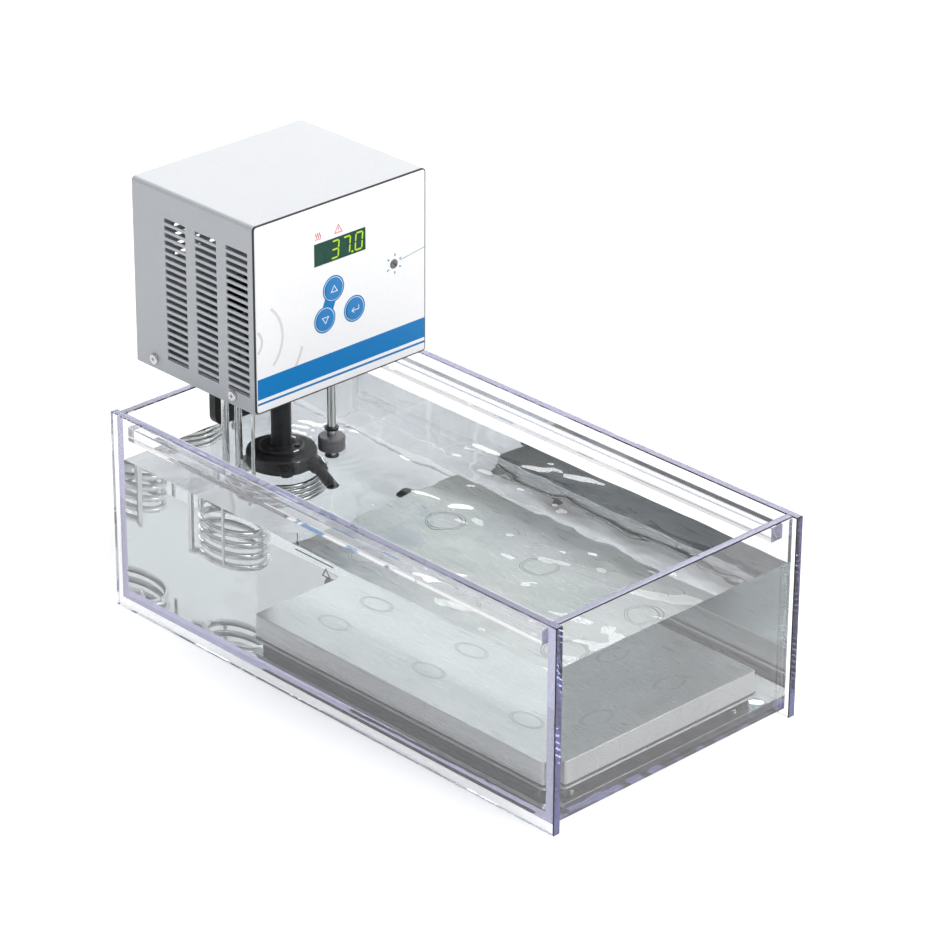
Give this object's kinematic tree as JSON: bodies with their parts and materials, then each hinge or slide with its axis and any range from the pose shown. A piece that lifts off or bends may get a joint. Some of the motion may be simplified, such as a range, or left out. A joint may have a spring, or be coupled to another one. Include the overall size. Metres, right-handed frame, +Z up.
{
  "type": "water bath",
  "caption": "Benchtop water bath: a clear acrylic tank with a clip-on immersion thermostat, heater coil and pump, and a submersible magnetic stirrer plate.",
  "frame": {"origin": "on the bench, under the middle of the whole object's bounding box", "axes": "+X along the tank away from the thermostat, +Y from the near long wall to the far one, +Z up"},
  "size_m": [0.5904, 0.292, 0.397],
  "materials": {
    "clear_acrylic": "clear, polished edges with a faint violet tint",
    "black_rubber": "matt",
    "brushed_stainless": "brushed",
    "steel_screws": "bright zinc",
    "green_circuit_board": "solder mask",
    "copper_winding": "enamelled copper",
    "black_plastic": "moulded, satin",
    "grey_powder_coat": "fine powder coat",
    "white_panel": "printed satin overlay",
    "green_window": "gloss filter",
    "plated_steel": "plated",
    "blue_key": "satin",
    "grey_plastic": "satin",
    "dark_iron": "varnished",
    "polished_tube": "polished stainless"
  },
  "bodies": {
    "tank": {"tank_front_wall": "clear_acrylic", "tank_rear_wall": "clear_acrylic", "tank_left_wall": "clear_acrylic", "tank_right_wall": "clear_acrylic", "tank_floor": "clear_acrylic", "ledge_front": "clear_acrylic", "ledge_rear": "clear_acrylic"},
    "stirrer": {"stirrer_feet": "black_rubber", "stirrer_base": "brushed_stainless", "stirrer_seal": "black_rubber", "stirrer_cover": "brushed_stainless", "stirrer_screws": "steel_screws", "stirrer_board": "green_circuit_board", "stirrer_coils": "copper_winding", "stirrer_gland": "black_plastic"},
    "thermostat": {"head_cover": "grey_powder_coat", "head_base": "grey_powder_coat", "rear_panel": "grey_powder_coat", "front_panel": "white_panel", "panel_gasket": "black_rubber", "cover_screws": "steel_screws", "rear_screws": "steel_screws", "display_window": "green_window", "display_module": "black_plastic", "control_board": "green_circuit_board", "board_posts": "plated_steel", "key_switches": "black_plastic", "limit_pot": "black_plastic", "power_inlet": "black_plastic", "inlet_pins": "plated_steel", "switch_frame": "black_plastic", "power_board": "green_circuit_board", "transformer": "dark_iron", "board_stands": "plated_steel", "pump_motor": "dark_iron", "motor_posts": "plated_steel", "pump_column": "black_plastic", "pump_housing": "black_plastic", "intake_grille": "black_plastic", "outlet_nozzle": "black_plastic", "heater_coil": "polished_tube", "temperature_probe": "polished_tube", "safety_probe": "polished_tube", "float_stem": "polished_tube", "float_clips": "black_plastic", "clamp_bracket": "black_plastic", "clamp_bolts": "steel_screws"},
    "pump_rotor": {"pump_shaft": "steel_screws", "cooling_fan": "black_plastic", "impeller": "black_plastic"},
    "float": {"float_ring": "grey_plastic"},
    "up_key": {"key_up": "blue_key"},
    "down_key": {"key_down": "blue_key"},
    "enter_key": {"key_enter": "blue_key"},
    "limit_adjuster": {"limit_dial": "grey_plastic"},
    "rocker": {"switch_rocker": "black_plastic"},
    "flow_adjuster": {"valve_knob": "black_plastic"},
    "pad": {"clamp_pad": "black_rubber"},
    "clamp_handle": {"clamp_screw": "steel_screws", "clamp_knob": "black_plastic"}
  },
  "joints": [
    {"name": "thermostat_lift", "type": "slide", "parent": "tank", "child": "thermostat", "axis": [0, 0, 1], "range_m": [0, 0.18]},
    {"name": "stirrer_lift", "type": "slide", "parent": "tank", "child": "stirrer", "axis": [0, 0, 1], "range_m": [0, 0.18]},
    {"name": "pump_spin", "type": "hinge", "parent": "thermostat", "child": "pump_rotor", "pos_m": [-0.17785, -0.019, 0.123], "axis": [0, 0, 1], "continuous": true},
    {"name": "float_slide", "type": "slide", "parent": "thermostat", "child": "float", "axis": [0, 0, 1], "range_m": [-0.014, 0.006]},
    {"name": "key_up_press", "type": "slide", "parent": "thermostat", "child": "up_key", "axis": [-1, 0, 0], "range_m": [0, 0.001], "stiffness_N_per_m": 1500},
    {"name": "key_down_press", "type": "slide", "parent": "thermostat", "child": "down_key", "axis": [-1, 0, 0], "range_m": [0, 0.001], "stiffness_N_per_m": 1500},
    {"name": "key_enter_press", "type": "slide", "parent": "thermostat", "child": "enter_key", "axis": [-1, 0, 0], "range_m": [0, 0.001], "stiffness_N_per_m": 1500},
    {"name": "limit_dial_turn", "type": "hinge", "parent": "thermostat", "child": "limit_adjuster", "pos_m": [-0.11685, 0.0617, 0.3168], "axis": [1, 0, 0], "range_deg": [-135, 135]},
    {"name": "power_rocker", "type": "hinge", "parent": "thermostat", "child": "rocker", "pos_m": [-0.27285, 0.008, 0.256], "axis": [0, 1, 0], "range_deg": [-16, 0]},
    {"name": "flow_adjust_turn", "type": "hinge", "parent": "thermostat", "child": "flow_adjuster", "pos_m": [-0.14451, -0.04326, 0.126], "axis": [0.9272, -0.3746, 0], "range_deg": [-90, 90]},
    {"name": "clamp_advance", "type": "slide", "parent": "thermostat", "child": "pad", "axis": [-1, 0, 0], "range_m": [0, 0.0045]},
    {"name": "clamp_turn", "type": "hinge", "parent": "pad", "child": "clamp_handle", "pos_m": [-0.28685, 0, 0.174], "axis": [-1, 0, 0], "range_deg": [0, 1297]}
  ],
  "couplings": [
    {"joint": "clamp_turn", "follows": "clamp_advance", "rad_per_m": 5026.5}
  ]
}
